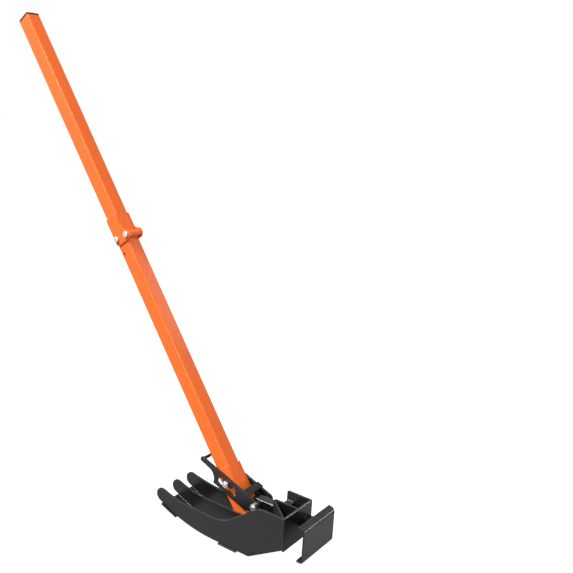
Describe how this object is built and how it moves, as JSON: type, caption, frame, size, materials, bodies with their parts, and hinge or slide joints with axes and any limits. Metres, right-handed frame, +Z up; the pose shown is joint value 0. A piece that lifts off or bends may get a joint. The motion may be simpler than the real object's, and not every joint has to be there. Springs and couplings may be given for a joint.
{
  "type": "tree puller",
  "caption": "Hand tree puller: a folding square tube lever on a curved rocker base works notched links that slide a toothed jaw towards a fixed jaw to grip a stem.",
  "frame": {"origin": "on the fixed jaw's gripping face, half way up it and midway between the drawbar and the inner side of the outer plate, where a stem is held", "axes": "+X points from the fixed jaw to the moving jaw, +Z is up with the base flat on the ground, and +Y points to the side with the pivot bolt's head"},
  "size_m": [1.2712, 0.1585, 1.5072],
  "materials": {
    "black_coat": "satin powder coat",
    "orange_coat": "satin powder coat",
    "zinc": "zinc plated",
    "black_plastic": "moulded"
  },
  "bodies": {
    "base": {"side_plate_drive": "black_coat", "side_plate_middle": "black_coat", "side_plate_outer": "black_coat", "front_plate": "black_coat", "diagonal_rib": "black_coat", "drawbar_guide_upper": "black_coat", "drawbar_guide_lower": "black_coat", "front_tread": "black_coat", "rear_tread": "black_coat", "pivot_bolt": "zinc", "pivot_nut": "zinc", "pivot_washers": "black_coat"},
    "jaw": {"drawbar": "black_coat", "jaw_plate": "black_coat"},
    "link_pin": {"drawbar_bolt": "zinc", "drawbar_nut": "zinc", "drawbar_spacers": "black_coat"},
    "links": {"link_plate_drive": "black_coat", "link_plate_outer": "black_coat", "link_bridge": "black_coat", "link_grip_rod": "black_coat"},
    "lever": {"lower_tube": "orange_coat", "heel_plate_drive": "orange_coat", "heel_plate_outer": "orange_coat", "pivot_bush": "zinc", "lever_bolt": "zinc", "lever_bolt_nut": "zinc", "hinge_knuckle": "orange_coat"},
    "upper_lever": {"upper_tube": "orange_coat", "hinge_plate_drive": "orange_coat", "hinge_plate_outer": "orange_coat", "hinge_bolt": "zinc", "hinge_nut": "zinc", "lock_bolt": "zinc", "lock_nut": "zinc", "end_cap": "black_plastic"}
  },
  "joints": [
    {"name": "lever_pivot", "type": "hinge", "parent": "base", "child": "lever", "pos_m": [-0.185, 0.0585, -0.064], "axis": [0, -1, 0], "range_deg": [0, 17]},
    {"name": "jaw_slide", "type": "slide", "parent": "base", "child": "jaw", "axis": [-1, 0, 0], "range_m": [0, 0.02005]},
    {"name": "link_swing", "type": "hinge", "parent": "jaw", "child": "link_pin", "pos_m": [-0.14862, 0.0585, -0.003], "axis": [0, 1, 0], "range_deg": [-12.84, 0]},
    {"name": "link_lift", "type": "hinge", "parent": "link_pin", "child": "links", "pos_m": [-0.14862, 0.0585, -0.003], "axis": [0, 1, 0], "range_deg": [0, 4.5]},
    {"name": "handle_fold", "type": "hinge", "parent": "lever", "child": "upper_lever", "pos_m": [-0.68926, 0.0585, 0.72045], "axis": [0, 1, 0], "range_deg": [0, 178]}
  ],
  "couplings": [
    {"joint": "jaw_slide", "follows": "lever_pivot", "m_per_rad": 0.067559},
    {"joint": "link_swing", "follows": "lever_pivot", "ratio": -0.75535}
  ]
}
